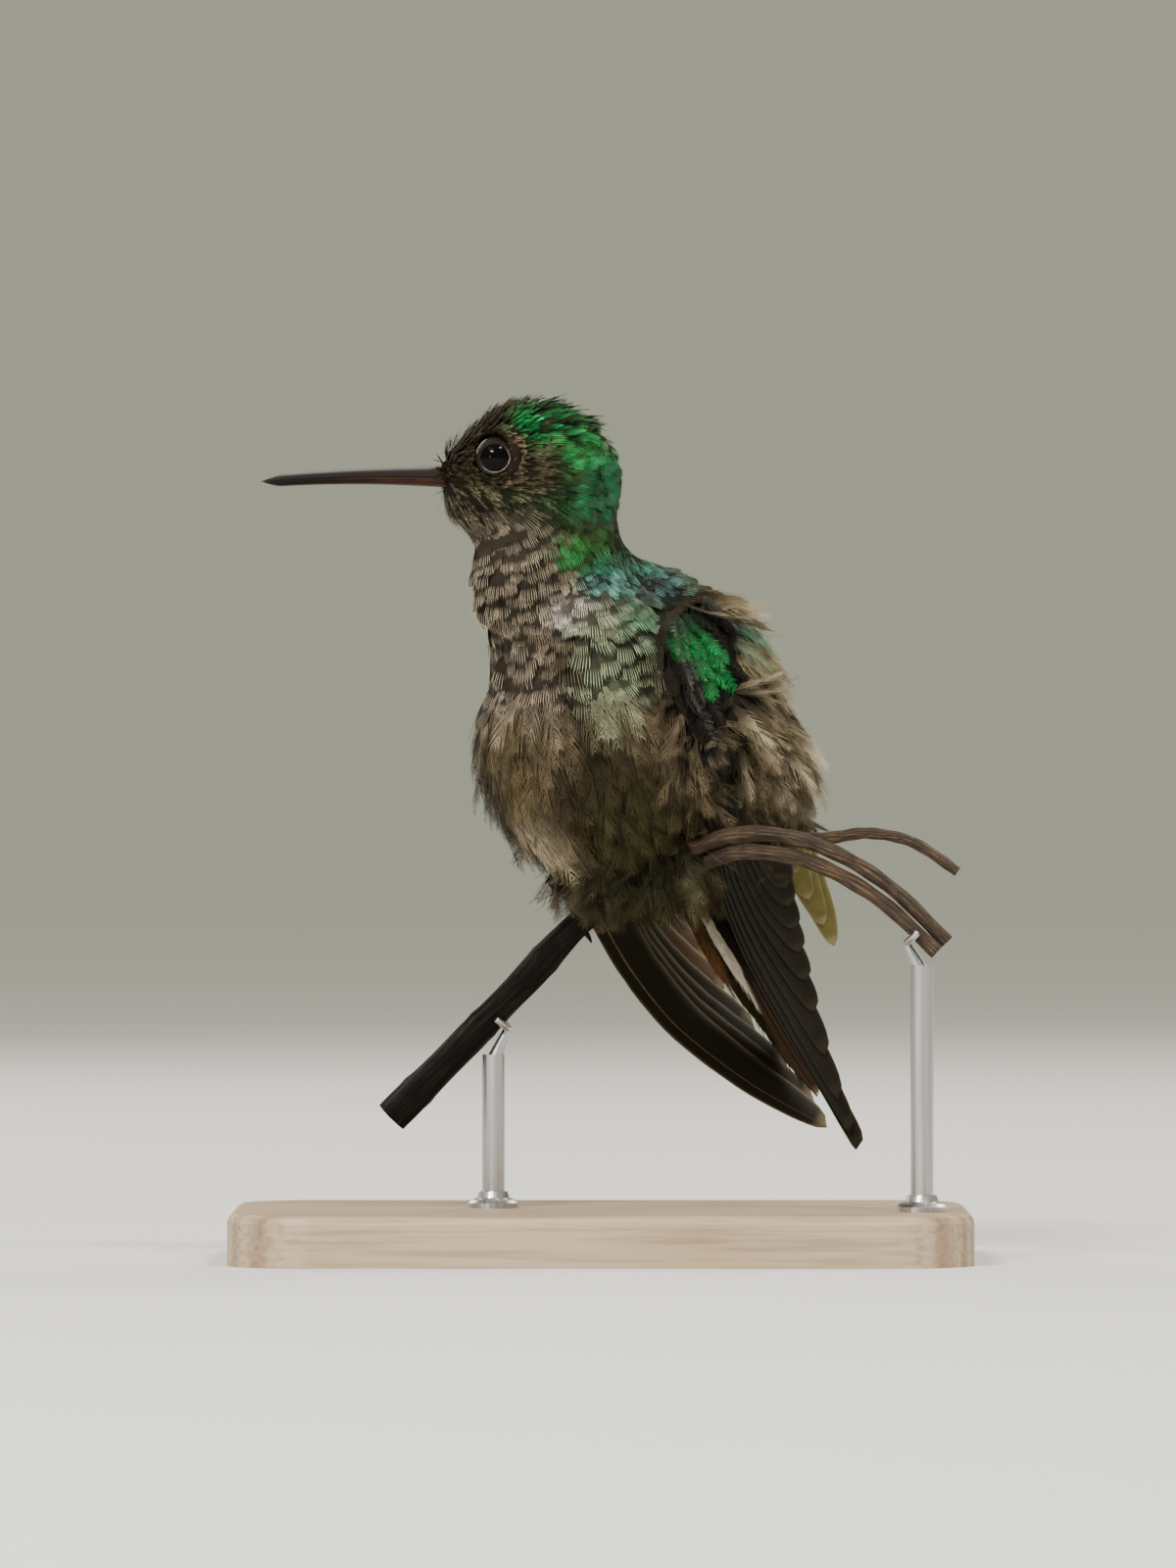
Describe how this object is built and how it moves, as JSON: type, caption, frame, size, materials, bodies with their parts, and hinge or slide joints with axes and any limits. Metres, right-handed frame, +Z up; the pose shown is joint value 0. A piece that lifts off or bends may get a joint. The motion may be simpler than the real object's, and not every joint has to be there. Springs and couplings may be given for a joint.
{
  "type": "hummingbird, perched, still life-size model on display stand",
  "caption": "Life-size still hummingbird with ruffled plumage gripping a short cut length of vine, held over a flat base by two short rods.",
  "frame": {"origin": "middle of the stand base's underside, at the bottom centre of the bounding box", "axes": "+Z up; -X the way the bill points; -Y the side of the bird that the picture shows"},
  "size_m": [0.072, 0.048, 0.0841],
  "materials": {
    "plumage_green": "iridescent emerald feathers",
    "plumage_grey": "matte grey-buff body feathers",
    "plumage_dusky": "dusky flight feathers, slight bronze gloss",
    "bill_horn": "satin dark horn",
    "bill_horn_reddish": "satin reddish-brown horn",
    "eye_black": "wet, mirror-smooth black-brown",
    "leg_skin": "fine dark scales",
    "bark_dark": "near-black ridged bark",
    "bark_tan": "tan-brown, lengthwise ridges",
    "stand_wood": "plain satin wood",
    "stand_steel": "satin rod"
  },
  "bodies": {
    "root": {"head": "plumage_green", "neck": "plumage_grey", "trunk": "plumage_grey", "vent": "plumage_grey", "bill_upper": "bill_horn", "bill_lower": "bill_horn_reddish", "eye_left": "eye_black", "eye_right": "eye_black", "wing_left_arm": "plumage_green", "wing_left_secondaries": "plumage_dusky", "wing_left_primaries": "plumage_dusky", "wing_right_arm": "plumage_green", "wing_right_secondaries": "plumage_dusky", "wing_right_primaries": "plumage_dusky", "tail_left": "plumage_dusky", "tail_right": "plumage_dusky", "leg_left": "leg_skin", "leg_right": "leg_skin", "perch_twig": "bark_dark", "perch_vine_upper": "bark_tan", "perch_vine_lower": "bark_tan", "perch_tendril": "bark_tan", "stand_base": "stand_wood", "stand_rod_left": "stand_steel", "stand_rod_right": "stand_steel"}
  },
  "joints": []
}
